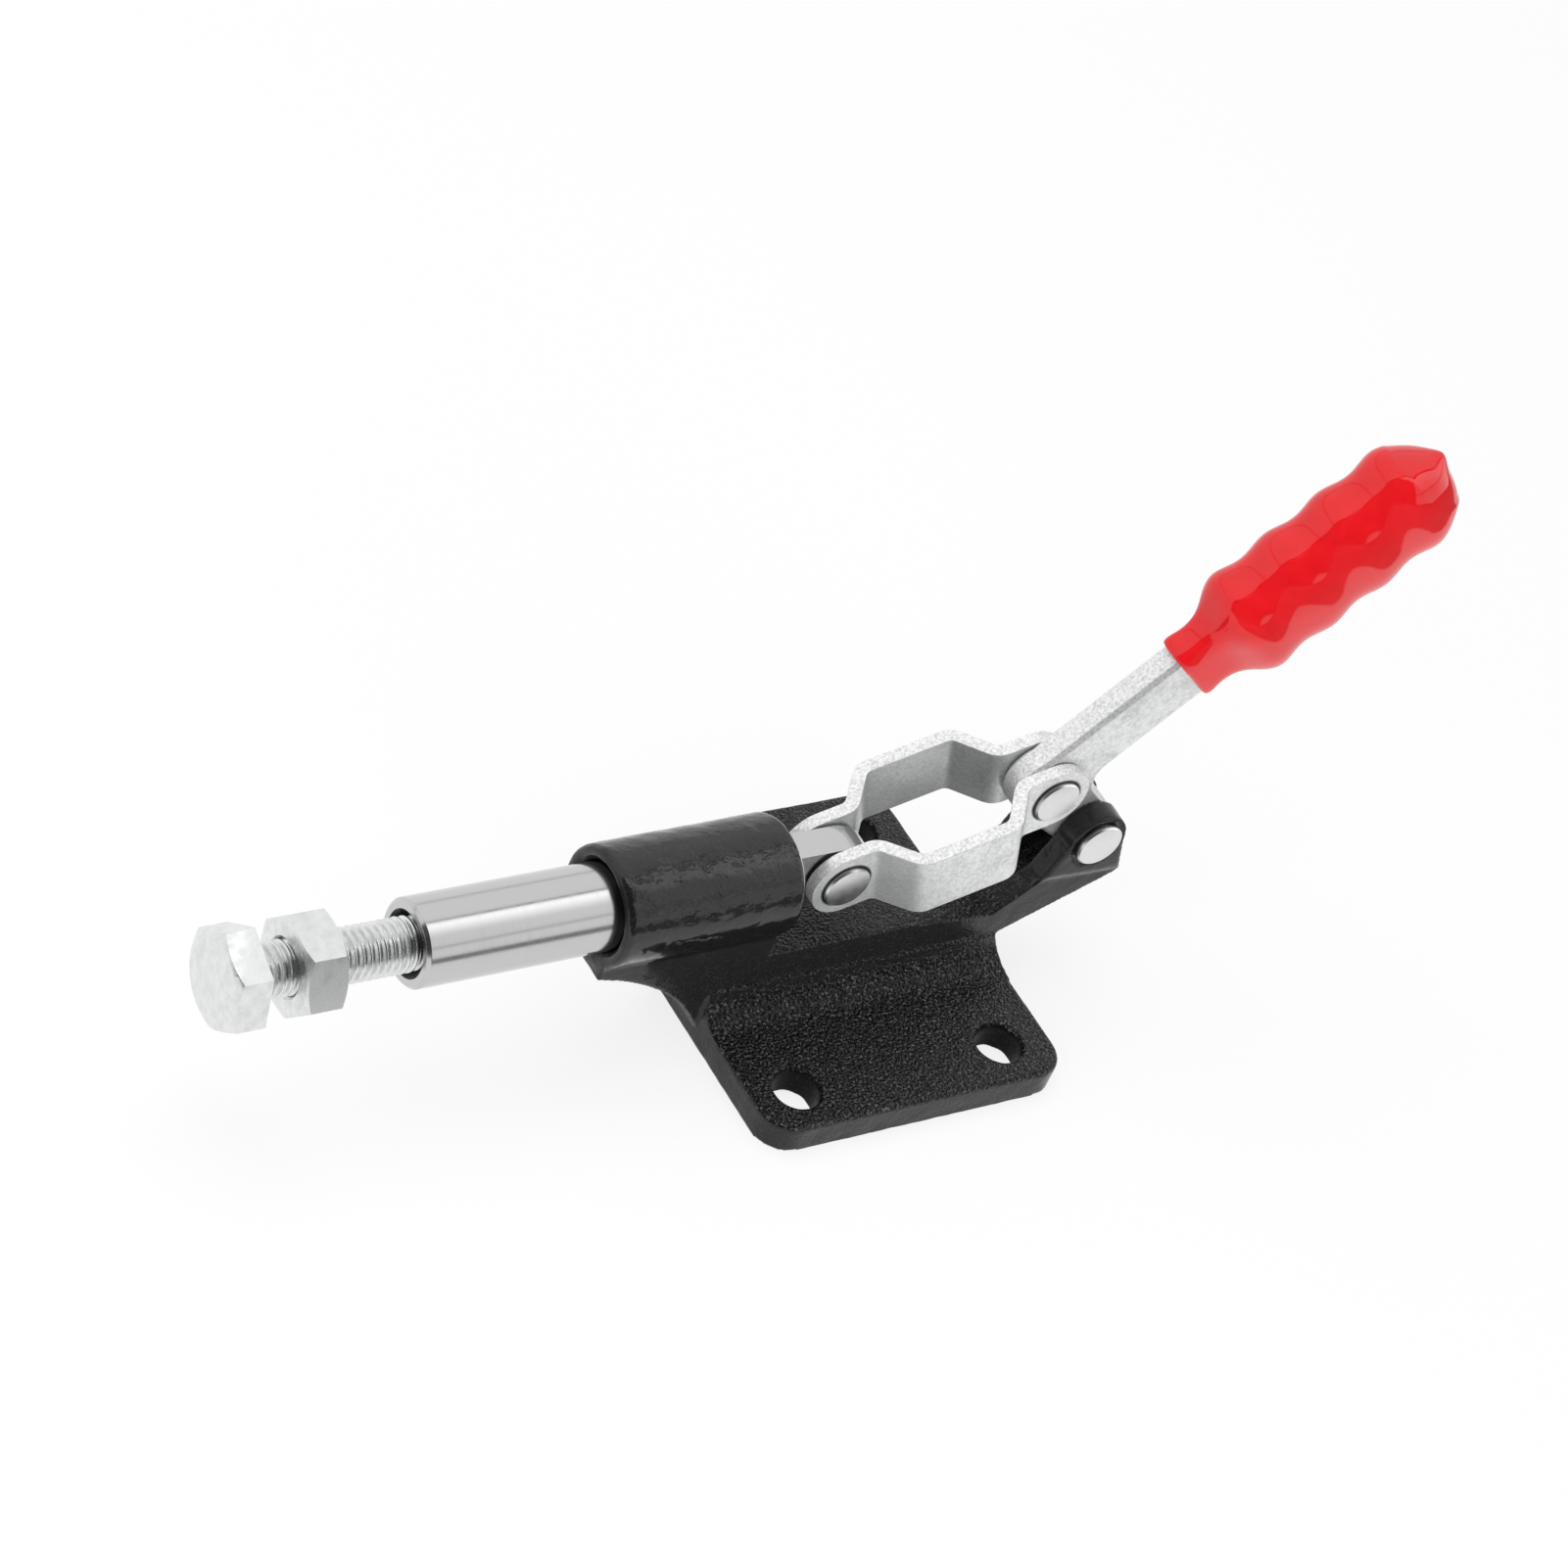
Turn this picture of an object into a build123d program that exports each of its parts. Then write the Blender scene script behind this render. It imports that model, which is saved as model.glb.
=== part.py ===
from build123d import *
import os
from math import atan2, copysign, cos, degrees, pi, radians, sin, sqrt

# Push-pull toggle clamp, millimetres.
# Origin: centre of the four base bolts, on the underside of the base. +Z up.
# +X runs from the plunger towards the handle, so the spindle pushes along -X.

# ---- base casting: flange ----
bolt_pitch_x = 45.0          # base bolts, along the plunger
bolt_pitch_y = 55.0          # base bolts, across the plunger
bolt_hole_d = 9.0            # clears an M8 bolt
bolt_hole_break = 0.5        # chamfer at the top of each hole
flange_front_margin = 9.7    # front edge to the nearer bolt line
flange_rear_margin = 11.1    # rear edge to the nearer bolt line
flange_side_margin = 9.0     # side edge to the nearer bolt line
flange_t = 6.2
flange_corner_r = 6.5
flange_edge_r = 1.0

# ---- base casting: body, barrel and ears ----
axis_z = 33.5                # plunger axis above the underside
body_w = 16.0                # width of the body that carries the barrel
body_fillet_r = 6.0          # concave flare from the body to the flange
rail_drop = 13.7             # plunger axis down to the top of the body
rail_dip = 1.6               # further fall of that top just before the ears
rail_dip_run = 20.0          # length over which it falls
chin_belly_run = 0.6         # fullest point of the chin, as a share of its run
chin_belly_drop = 0.38       # and as a share of its height
barrel_wall = 3.15
barrel_len = 37.2
barrel_gap = 6.2             # barrel's rear face to the plunger pin at full lock
barrel_edge_r = 1.2
barrel_mouth = 1.2           # depth of the countersink at each end of the bore
ear_t = 5.0
ear_r = 6.4                  # around the pivot pin
ear_front_run = 9.7          # pivot to the foot of the ear's front edge, along X
ear_rear_run = 9.1           # pivot to the heel of the ear, along X
ear_foot_drop = 8.2          # pivot down to the foot of the front edge
ear_heel_drop = 9.0          # pivot down to the heel
ear_edge_r = 0.8
heel_lip = 1.0               # step from the neck out to the heel
neck_lean = 2.0              # the neck's rear face leans in by this above the flange
neck_draft = 0.4             # the neck lies this far inside the ear's face
neck_t = 5.5                 # metal under the slot between the ears

# ---- linkage ----
pivot_x = 46.2               # pivot pin
crank_r = 18.0               # pivot pin to link pin
crank_deg = 41.9             # crank above the plunger axis, as set up
link_len = 44.0              # link pin to plunger pin
link_t = 2.6
link_w = 13.9
link_bulge = 10.4            # half of the clear width between the links' middles
link_bend_in = 2.0           # bend radius on the inside of each bend
front_bend_run = 6.5         # plunger pin to the first bend
front_ramp = 5.8             # length of the ramp after it
rear_bend_run = 7.2          # link pin to the last bend
rear_ramp = 5.7              # length of the ramp before it

# ---- plunger ----
plunger_d = 16.0
plunger_reach = 87.8         # plunger pin to the plunger's front face
plunger_front_break = 0.6
tongue_t = 6.0
tongue_top = 6.2             # milled flat above the axis
tongue_gap = 0.45            # tongue to each link
tongue_back = 9.0            # plunger pin to the rear end of the tongue
tongue_run = 8.6             # plunger pin to the shoulder where the flats start
tongue_top_r = 9.5
tongue_low_r = 2.5
slot_dx = 4.5                # the pin's play in the tongue, along X
slot_dz = 2.7                # and downwards

# ---- spindle bolt and lock nut ----
spindle_d = 10.0
spindle_len = 60.0           # under the head
spindle_out = 30.3           # underside of the head to the plunger's front face
spindle_tip_break = 1.0
socket_spare = 10.0          # depth of the tapped hole past the spindle's tip
socket_mouth_d = 12.4
hex_af = 17.0
head_t = 6.4
nut_t = 8.0
nut_from_head = 6.9          # underside of the head to the nut
hex_face_share = 0.95        # flat face of a hexagon, as a share of its width
nut_mouth = 0.5              # countersink of the nut's thread, radial
head_roll_deg = 18.9
nut_roll_deg = 8.7

# ---- rivet pins ----
plunger_pin_d = 5.0
link_pin_d = 6.0
pivot_pin_d = 7.0
link_head_d = 9.2            # heads of the two pins in the links
pivot_head_d = 9.5
rivet_head_t = 0.8
rivet_head_break = 0.3

# ---- handle ----
lever_t = 5.5
lever_w = 13.0
lever_root_r = 7.0           # round the link pin
lever_heel_r = 5.8           # round the pivot pin
lever_root_fillet = 4.5
lever_deg = 47.0             # the bar above +X, as set up
lever_len = 88.0             # link pin to the end of the bar
lever_edge = 0.8
grip_start = 32.7            # link pin to the mouth of the grip
grip_len = 60.0
grip_collar_w = 15.4
grip_collar_t = 7.6
grip_collar_len = 6.0
grip_swell = 8.5             # length over which the collar swells to full size
grip_w = 23.6                # mean width over the finger waves
grip_t = 16.1                # mean thickness over them
grip_wave_w = 0.6            # the waves rise and fall this far on the narrow edges
grip_wave_t = 0.35           # and this far on the broad sides
grip_wave_pitch = 12.0
grip_first_crest = 14.4      # from the mouth of the grip
grip_dome = 9.5              # length of the rounded end
grip_dome_stop = 85.0        # how far round the dome the last section stands, degrees
grip_dome_rings = 5          # sections of the dome
grip_rings_per_wave = 4
grip_ring_points = 24        # points round one section
grip_dome_power = 0.8        # the end rounds off less in thickness than in width
collar_squareness = 5.0      # exponent of the oval section: 2 is an ellipse
grip_squareness = 2.7
grip_drip_r = 1.6            # drip left on the end by dipping
grip_drip_rise = 0.7         # how far it stands out
grip_drip_up = 4.0           # off the grip's middle, towards the upper edge

# ---- fits ----
slide_clear = 0.05           # plunger in its barrel, radial
pin_clear = 0.05             # pins in their holes, radial
thread_clear = 0.05          # spindle in nut and plunger, radial
side_clear = 0.2             # lever between the ears and between the links, each side
play_clear = 0.55            # the pin in the long hole of the tongue, radial

# ---- places that follow from the sizes above ----
pivot = Vector(pivot_x, 0, axis_z)
crank_dir = Vector(-cos(radians(crank_deg)), 0, sin(radians(crank_deg)))
link_pin_at = pivot + crank_dir * crank_r
link_rise = link_pin_at.Z - axis_z
link_deg = degrees(atan2(link_rise, sqrt(link_len**2 - link_rise**2)))
plunger_pin_at = Vector(link_pin_at.X - link_len * cos(radians(link_deg)), 0, axis_z)
locked_pin_x = pivot_x - crank_r - link_len
lever_dir = Vector(cos(radians(lever_deg)), 0, sin(radians(lever_deg)))

flange_x0 = -bolt_pitch_x / 2 - flange_front_margin
flange_x1 = bolt_pitch_x / 2 + flange_rear_margin
flange_w = bolt_pitch_y + 2 * flange_side_margin
barrel_x1 = locked_pin_x - barrel_gap
barrel_x0 = barrel_x1 - barrel_len
barrel_r = plunger_d / 2 + slide_clear + barrel_wall
ear_in = lever_t / 2 + side_clear
ear_out = ear_in + ear_t
front_eye_in = tongue_t / 2 + tongue_gap
rear_eye_in = lever_t / 2 + side_clear
plunger_x0 = plunger_pin_at.X - plunger_reach
head_x1 = plunger_x0 - spindle_out
nut_x0 = head_x1 + nut_from_head

side_plane = Plane.XZ        # its local x, y are the world's X, Z; its normal is -Y


def across(sketch, half):
    """A side outline as a solid that reaches `half` to each side of the middle."""
    return extrude(side_plane * sketch, amount=half, both=True)


def bar_along_y(at, radius, half):
    """A round bar across the clamp, through the point `at`."""
    return Pos(at.X, 0, at.Z) * Rot(90, 0, 0) * Cylinder(radius, 2 * half)


def bar_along_x(x0, x1, radius):
    """A round bar on the plunger's axis."""
    return Pos((x0 + x1) / 2, 0, axis_z) * Rot(0, 90, 0) * Cylinder(radius, x1 - x0)


def cone_along_x(x0, x1, r0, r1):
    """A cone on the plunger's axis, of radius r0 at x0 and r1 at x1."""
    return Pos((x0 + x1) / 2, 0, axis_z) * Rot(0, 90, 0) * Cone(r0, r1, x1 - x0)


# ---------------------------------------------------------------- base casting
def flange():
    """The plate with its four bolt holes."""
    length = flange_x1 - flange_x0
    middle = (flange_x0 + flange_x1) / 2
    plate = Pos(middle, 0, 0) * extrude(RectangleRounded(length, flange_w, flange_corner_r), flange_t)
    plate = fillet(plate.faces().sort_by(Axis.Z)[-1].edges(), flange_edge_r)
    hole = Pos(0, 0, flange_t / 2) * Cylinder(bolt_hole_d / 2, 2 * flange_t)
    rim = Pos(0, 0, flange_t - bolt_hole_break / 2) * Cone(
        bolt_hole_d / 2, bolt_hole_d / 2 + bolt_hole_break, bolt_hole_break)
    return plate - GridLocations(bolt_pitch_x, bolt_pitch_y, 2, 2) * (hole + rim)


def body_outline():
    """Side view of the body: chin, rail, the neck under the ears and its overhang."""
    rail_z = axis_z - rail_drop
    chin_z = axis_z - barrel_r
    edge_z = flange_t / 2
    neck_x = flange_x1 - neck_lean
    neck_z = flange_t + body_fillet_r
    foot = (pivot_x - ear_front_run, axis_z - ear_foot_drop)
    heel = (pivot_x + ear_rear_run, axis_z - ear_heel_drop)
    lip = (heel[0] - heel_lip, heel[1] - heel_lip)
    dip_x = foot[0] - ear_foot_drop
    belly = (
        barrel_x0 + chin_belly_run * (flange_x0 - barrel_x0),
        chin_z - chin_belly_drop * (chin_z - edge_z))
    chin = ThreePointArc((barrel_x0, chin_z), belly, (flange_x0, edge_z))
    rest = Polyline(
        (flange_x0, edge_z), (flange_x1, edge_z), (flange_x1, flange_t), (neck_x, neck_z), lip, heel, foot,
        (dip_x, rail_z - rail_dip), (dip_x - rail_dip_run, rail_z), (barrel_x1, rail_z),
        (barrel_x1, axis_z), (barrel_x0, axis_z), (barrel_x0, chin_z))
    return make_face(chin + rest)


def flare():
    """Concave flare between the flange and the body's walls."""
    half = body_w / 2
    r = body_fillet_r
    bend = r * (1 - cos(radians(45)))
    section = Polyline((half, flange_t + r), (0, flange_t + r), (0, 0), (half + r, 0), (half + r, flange_t))
    section += ThreePointArc((half + r, flange_t), (half + bend, flange_t + bend), (half, flange_t + r))
    face = make_face(section)
    right = extrude(Plane.YZ.offset(flange_x0) * face, flange_x1 - flange_x0)
    return right + mirror(right, Plane.XZ)


def ear_outline():
    """Side view of one ear: round over the pivot, spreading down to its foot and heel."""
    foot = Vector(pivot_x - ear_front_run, axis_z - ear_foot_drop)
    heel = Vector(pivot_x + ear_rear_run, axis_z - ear_heel_drop)
    head = Pos(pivot_x, axis_z) * Circle(ear_r)
    front = Vector(pivot_x - ear_r, axis_z)
    rear = Vector(pivot_x + ear_r, axis_z)
    skirt = make_face(Polyline(
        (front.X, front.Y), (foot.X, foot.Y), (heel.X, heel.Y), (rear.X, rear.Y), (front.X, front.Y)))
    return head + skirt


def ears():
    """Two ears with rounded outer edges, which carry the pivot pin."""
    blank = extrude(side_plane * ear_outline(), ear_t)
    blank = fillet(blank.faces().sort_by(Axis.Y)[0].edges(), ear_edge_r)
    near = Pos(0, -ear_in, 0) * blank
    return near + mirror(near, Plane.XZ)


def ear_slot():
    """The slot between the ears, its floor in line with the overhang of the neck."""
    x0 = flange_x1 - neck_lean
    z0 = flange_t + body_fillet_r
    lip_x = pivot_x + ear_rear_run - heel_lip
    lip_z = axis_z - ear_heel_drop - heel_lip
    slope = (lip_z - z0) / (lip_x - x0)
    x1 = pivot_x + 2 * ear_rear_run
    top = axis_z + 2 * ear_r
    floor_z = z0 + neck_t
    outline = Polyline((x0, floor_z), (x1, floor_z + slope * (x1 - x0)), (x1, top), (x0, top), (x0, floor_z))
    return across(make_face(outline), ear_in)


def barrel():
    """The barrel that guides the plunger, rounded at its rims."""
    tube = bar_along_x(barrel_x0, barrel_x1, barrel_r)
    return fillet(tube.edges().filter_by(GeomType.CIRCLE), barrel_edge_r)


def bore():
    """The plunger's bore, countersunk at both ends."""
    r = plunger_d / 2 + slide_clear
    hole = bar_along_x(barrel_x0 - 1, barrel_x1 + 1, r)
    front = cone_along_x(barrel_x0, barrel_x0 + barrel_mouth, r + barrel_mouth, r)
    rear = cone_along_x(barrel_x1 - barrel_mouth, barrel_x1, r, r + barrel_mouth)
    return hole + front + rear


def base_casting():
    """Flange, body, barrel and ears, cast in one piece and then bored."""
    body = across(body_outline() + ear_outline(), body_w / 2 - neck_draft)
    wide = across(body_outline(), body_w / 2 + body_fillet_r)
    casting = flange() + body + (flare() & wide) + barrel() + ears()
    pin_hole = bar_along_y(pivot, pivot_pin_d / 2 + pin_clear, 2 * ear_out)
    return casting - bore() - ear_slot() - pin_hole


# ---------------------------------------------------------------- plunger
def tongue_outline():
    """Side view of the tongue: flat on top, its lower corner fuller than the upper one."""
    x0 = plunger_pin_at.X - tongue_run
    x1 = plunger_pin_at.X + tongue_back
    z0 = axis_z - plunger_d / 2
    z1 = axis_z + tongue_top
    box = Pos((x0 + x1) / 2, (z0 + z1) / 2) * Rectangle(x1 - x0, z1 - z0)
    corners = box.vertices().sort_by(Axis.X)[-2:].sort_by(Axis.Y)
    box = fillet(corners[-1], tongue_top_r)
    return fillet(box.vertices().sort_by(Axis.Y)[:2].sort_by(Axis.X)[-1], tongue_low_r)


def long_hole():
    """The hole for the plunger pin, longer than the pin by its play."""
    length = sqrt(slot_dx**2 + slot_dz**2)
    middle = Pos(plunger_pin_at.X + slot_dx / 2, axis_z - slot_dz / 2)
    tilt = Rot(0, 0, -degrees(atan2(slot_dz, slot_dx)))
    return middle * tilt * SlotCenterToCenter(length, plunger_pin_d + 2 * play_clear)


def plunger():
    """Ground rod: tapped at the front, two flats and a cross hole at the rear."""
    shoulder_x = plunger_pin_at.X - tongue_run
    rod = bar_along_x(plunger_x0, shoulder_x, plunger_d / 2)
    rod = chamfer(rod.edges().sort_by(Axis.X)[0], plunger_front_break)
    tongue = across(tongue_outline(), tongue_t / 2)
    tongue &= bar_along_x(shoulder_x, plunger_pin_at.X + tongue_back + plunger_d, plunger_d / 2)
    thread_r = spindle_d / 2 + thread_clear
    tip_x = plunger_x0 + spindle_len - spindle_out
    socket = bar_along_x(plunger_x0 - 1, tip_x + socket_spare, thread_r)
    mouth = cone_along_x(plunger_x0, plunger_x0 + socket_mouth_d / 2 - thread_r, socket_mouth_d / 2, thread_r)
    return rod + tongue - across(long_hole(), tongue_t) - socket - mouth


# ---------------------------------------------------------------- spindle bolt and nut
def hexagon(x0, x1, roll):
    """A hexagon prism on the plunger's axis, its corners turned by `roll` degrees."""
    outline = Plane.YZ.offset(x0) * Pos(0, axis_z) * Rot(0, 0, roll) * RegularPolygon(
        hex_af / 2, 6, major_radius=False)
    return extrude(outline, x1 - x0)


def hex_chamfer(x_face, x_back):
    """A cone that cuts a hexagon's corners back to a round face at x_face."""
    face_r = hex_face_share * hex_af / 2
    depth = abs(x_back - x_face)
    wide_r = face_r + depth * sqrt(3)
    if x_face < x_back:
        return cone_along_x(x_face, x_back, face_r, wide_r)
    return cone_along_x(x_back, x_face, wide_r, face_r)


def spindle_bolt():
    """Hexagon bolt: the head meets the work, the shank screws into the plunger."""
    head_x0 = head_x1 - head_t
    head = hexagon(head_x0, head_x1, head_roll_deg) & hex_chamfer(head_x0, head_x1)
    shank = bar_along_x(head_x1, head_x1 + spindle_len, spindle_d / 2)
    return head + chamfer(shank.edges().sort_by(Axis.X)[-1], spindle_tip_break)


def lock_nut():
    """Hexagon nut, chamfered and countersunk on both faces."""
    nut_x1 = nut_x0 + nut_t
    r = spindle_d / 2 + thread_clear
    mouth_r = r + nut_mouth
    nut = hexagon(nut_x0, nut_x1, nut_roll_deg)
    nut = nut & hex_chamfer(nut_x0, nut_x1) & hex_chamfer(nut_x1, nut_x0)
    nut -= bar_along_x(nut_x0 - 1, nut_x1 + 1, r)
    nut -= cone_along_x(nut_x0, nut_x0 + mouth_r - r, mouth_r, r)
    return nut - cone_along_x(nut_x1 - mouth_r + r, nut_x1, r, mouth_r)


# ---------------------------------------------------------------- links and pins
def link_strip():
    """Plan view of one link, joggled out round the plunger's tongue and the body."""
    front_y = front_eye_in + link_t / 2
    rear_y = rear_eye_in + link_t / 2
    bulge_y = link_bulge + link_t / 2
    reach = link_w
    middle = FilletPolyline(
        (-reach, front_y),
        (front_bend_run, front_y),
        (front_bend_run + front_ramp, bulge_y),
        (link_len - rear_bend_run - rear_ramp, bulge_y),
        (link_len - rear_bend_run, rear_y),
        (link_len + reach, rear_y),
        radius=link_bend_in + link_t / 2,
    )
    return make_face(offset(middle, link_t / 2, side=Side.BOTH, kind=Kind.ARC))


def link(side):
    """One joggled strip link with a round eye at each end; side is -1 near, +1 far."""
    strip = extrude(link_strip(), link_w, both=True)
    outline = Pos(link_len / 2, 0) * SlotCenterToCenter(link_len, link_w)
    blank = strip & extrude(side_plane * outline, link_bulge + 2 * link_t, both=True)
    for at, pin_d in ((0, plunger_pin_d), (link_len, link_pin_d)):
        blank -= Pos(at, 0, 0) * Rot(90, 0, 0) * Cylinder(pin_d / 2 + pin_clear, 8 * link_bulge)
    if side < 0:
        blank = mirror(blank, Plane.XZ)
    return Pos(plunger_pin_at.X, 0, axis_z) * Rot(0, -link_deg, 0) * blank


def rivet(at, shank_d, head_d, half_grip):
    """A pin with a thin bevelled head set over at each end."""
    shank = bar_along_y(at, shank_d / 2, half_grip)
    head = Pos(at.X, 0, at.Z) * Rot(90, 0, 0) * Pos(0, 0, half_grip + rivet_head_t / 2) * Cylinder(
        head_d / 2, rivet_head_t)
    outer = head.edges().filter_by(GeomType.CIRCLE).sort_by(Axis.Y)[0]
    head = chamfer(outer, rivet_head_break)
    return shank + head + mirror(head, Plane.XZ)


# ---------------------------------------------------------------- handle
def lever_frame():
    """Frame on the link pin: local x along the bar, y square to it, z across the clamp."""
    return Plane(origin=link_pin_at, x_dir=lever_dir, z_dir=(0, -1, 0))


def handle_lever():
    """Flat lever: a root plate with two pin holes, and the bar that carries the grip."""
    frame = lever_frame()
    down = frame.to_local_coords(pivot)
    heel = Pos(down.X, down.Y) * Circle(lever_heel_r)
    root = make_hull(Circle(lever_root_r).edges() + heel.edges())
    bar = Pos(lever_len / 2, 0) * Rectangle(lever_len, lever_w)
    outline = root + bar
    inner = outline.vertices().filter_by_position(Axis.Y, -2 * lever_w, -lever_w / 2 + 0.1)
    inner = inner.filter_by_position(Axis.X, 1.0, lever_len / 2)
    outline = fillet(inner, lever_root_fillet)
    plate = extrude(frame * outline, lever_t / 2, both=True)
    broad = plate.faces().filter_by(Axis.Y)
    plate = chamfer(broad.edges(), lever_edge)
    plate -= bar_along_y(link_pin_at, link_pin_d / 2 + pin_clear, lever_t)
    return plate - bar_along_y(pivot, pivot_pin_d / 2 + pin_clear, lever_t)


def grip_section(run):
    """Oval section of the grip at a distance from its mouth, square where it leaves the bar."""
    swell = min(max((run - grip_collar_len) / grip_swell, 0), 1)
    swell = swell * swell * (3 - 2 * swell)
    wave = cos(2 * pi * (run - grip_first_crest) / grip_wave_pitch)
    width = grip_collar_w + swell * (grip_w + 2 * grip_wave_w * wave - grip_collar_w)
    thick = grip_collar_t + swell * (grip_t + 2 * grip_wave_t * wave - grip_collar_t)
    dome_part = max((run - grip_len + grip_dome) / grip_dome, 0)
    shrink = sqrt(1 - dome_part**2)
    power = 2 / (collar_squareness + swell * (grip_squareness - collar_squareness))
    points = []
    for i in range(grip_ring_points):
        turn = 2 * pi * i / grip_ring_points
        across_part, along_part = cos(turn), sin(turn)
        points.append((
            copysign(thick / 2 * shrink**grip_dome_power * abs(across_part)**power, across_part),
            copysign(width / 2 * shrink * abs(along_part)**power, along_part)))
    return make_face(Spline(*points, periodic=True))


def handle_grip(lever):
    """Dipped vinyl grip with finger waves, moulded on to the bar."""
    start = link_pin_at + lever_dir * grip_start
    dome_from = grip_len - grip_dome
    steps = round(grip_rings_per_wave * dome_from / grip_wave_pitch)
    runs = [dome_from * i / steps for i in range(steps + 1)]
    for i in range(grip_dome_rings):
        turn = grip_dome_stop * (i + 1) / grip_dome_rings
        runs.append(dome_from + grip_dome * sin(radians(turn)))
    sections = []
    for run in runs:
        plane = Plane(origin=start + lever_dir * run, x_dir=(0, 1, 0), z_dir=lever_dir)
        sections.append(plane * grip_section(run))
    upward = Vector(-lever_dir.Z, 0, lever_dir.X)
    drip_at = start + lever_dir * (grip_len + grip_drip_rise - grip_drip_r) + upward * grip_drip_up
    drip = Pos(drip_at.X, drip_at.Y, drip_at.Z) * Sphere(grip_drip_r)
    return loft(sections) + drip - lever


lever = handle_lever()
nodes = {
    "base_casting": base_casting(),
    "pivot_pin": rivet(pivot, pivot_pin_d, pivot_head_d, ear_out),
    "plunger": plunger(),
    "spindle_bolt": spindle_bolt(),
    "lock_nut": lock_nut(),
    "link_near": link(-1),
    "link_far": link(1),
    "plunger_pin": rivet(plunger_pin_at, plunger_pin_d, link_head_d, front_eye_in + link_t),
    "link_pin": rivet(link_pin_at, link_pin_d, link_head_d, rear_eye_in + link_t),
    "handle_lever": lever,
    "handle_grip": handle_grip(lever),
}

os.makedirs("parts", exist_ok=True)
for name, solid in nodes.items():
    export_step(solid, f"parts/{name}.step")
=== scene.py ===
from math import copysign, cos, exp, hypot, pi, radians, sin

import bmesh
import bpy
from mathutils import Matrix, Vector


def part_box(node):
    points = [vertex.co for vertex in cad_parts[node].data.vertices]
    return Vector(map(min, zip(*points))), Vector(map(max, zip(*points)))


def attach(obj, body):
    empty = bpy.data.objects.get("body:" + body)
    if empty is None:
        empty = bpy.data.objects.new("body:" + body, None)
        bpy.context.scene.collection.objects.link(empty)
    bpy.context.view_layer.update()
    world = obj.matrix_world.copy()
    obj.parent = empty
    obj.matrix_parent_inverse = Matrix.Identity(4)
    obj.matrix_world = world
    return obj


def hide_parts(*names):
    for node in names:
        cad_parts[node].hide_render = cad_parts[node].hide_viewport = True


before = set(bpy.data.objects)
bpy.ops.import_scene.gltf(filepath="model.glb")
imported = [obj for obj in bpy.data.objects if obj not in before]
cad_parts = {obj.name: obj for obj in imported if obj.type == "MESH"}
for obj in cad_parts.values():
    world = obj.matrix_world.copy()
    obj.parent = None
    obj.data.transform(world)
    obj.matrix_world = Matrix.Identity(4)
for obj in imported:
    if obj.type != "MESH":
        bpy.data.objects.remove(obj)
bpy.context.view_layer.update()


# ---- Base casting -----------------------------------------------------------
# Flange, body, barrel and ears are one iron sand casting, dipped in black enamel.
# The mould leaves rounded edges and a sandy flange. On the barrel the enamel lies
# thick, and its lumps gather along the top.
MM = 0.001


def linear(hex_colour):
    """An sRGB hex colour as linear red, green, blue, alpha."""
    channels = [int(hex_colour[i:i + 2], 16) / 255 for i in (1, 3, 5)]
    straight = [c / 12.92 if c <= 0.04045 else ((c + 0.055) / 1.055) ** 2.4 for c in channels]
    return (*straight, 1.0)


def add(tree, kind, inputs=None, **settings):
    """Adds one node; inputs are socket values, or output sockets to link from."""
    node = tree.nodes.new(kind)
    for name, value in settings.items():
        setattr(node, name, value)
    for socket, value in (inputs or {}).items():
        if isinstance(value, bpy.types.NodeSocket):
            tree.links.new(value, node.inputs[socket])
        else:
            node.inputs[socket].default_value = value
    return node


def new_material(name):
    """A material with only its output and the Principled shader."""
    material = bpy.data.materials.new(name)
    material.use_nodes = True
    tree = material.node_tree
    tree.nodes.clear()
    shader = add(tree, "ShaderNodeBsdfPrincipled")
    add(tree, "ShaderNodeOutputMaterial", {"Surface": shader.outputs["BSDF"]})
    return material, tree, shader


def solid_copy(node, name):
    """A node's mesh as one closed surface with its flat faces whole, in a new object."""
    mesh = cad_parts[node].data.copy()
    mesh.name = name
    body = bmesh.new()
    body.from_mesh(mesh)
    bmesh.ops.remove_doubles(body, verts=body.verts, dist=0.002 * MM)
    bmesh.ops.dissolve_limit(body, angle_limit=radians(0.4), verts=body.verts, edges=body.edges)
    body.to_mesh(mesh)
    body.free()
    mesh.materials.clear()
    piece = bpy.data.objects.new(name, mesh)
    bpy.context.scene.collection.objects.link(piece)
    return piece


def baked(piece):
    """Turns a piece's modifiers into plain mesh."""
    evaluated = piece.evaluated_get(bpy.context.evaluated_depsgraph_get())
    mesh = bpy.data.meshes.new_from_object(evaluated)
    piece.modifiers.clear()
    piece.data = mesh
    return piece


BORE_AXIS = Vector((0, 0, 33.5)) * MM
BARREL_OUTER = 11.2 * MM
FILM_SWELL = 0.6 * MM       # how far the barrel's skin may stray from that radius
HOLE_RADIUS = 4.5 * MM
HOLE_RIM = 0.4 * MM
SANDY_BELOW = 17 * MM       # the sandy skin of the flange ends here
SMOOTH_ABOVE = 24 * MM      # and the thick film is whole from here up
SAND_GRAIN = 0.6 * MM       # real moulding sand is about half this; drawn coarser to show
# Size of the flange's speckle: painted shade in the sand's pits and painted glints on its grains.
PIT_SHADE_GLINT_SPECKLE = 0.55 * MM
PAINT_LUMP = 4.2 * MM
RIDGE_Y = -3.8 * MM         # the enamel runs together in a line along the barrel
bolt_holes = [Vector((x, y)) * MM for x in (-22.5, 22.5) for y in (-27.5, 27.5)]


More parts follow.
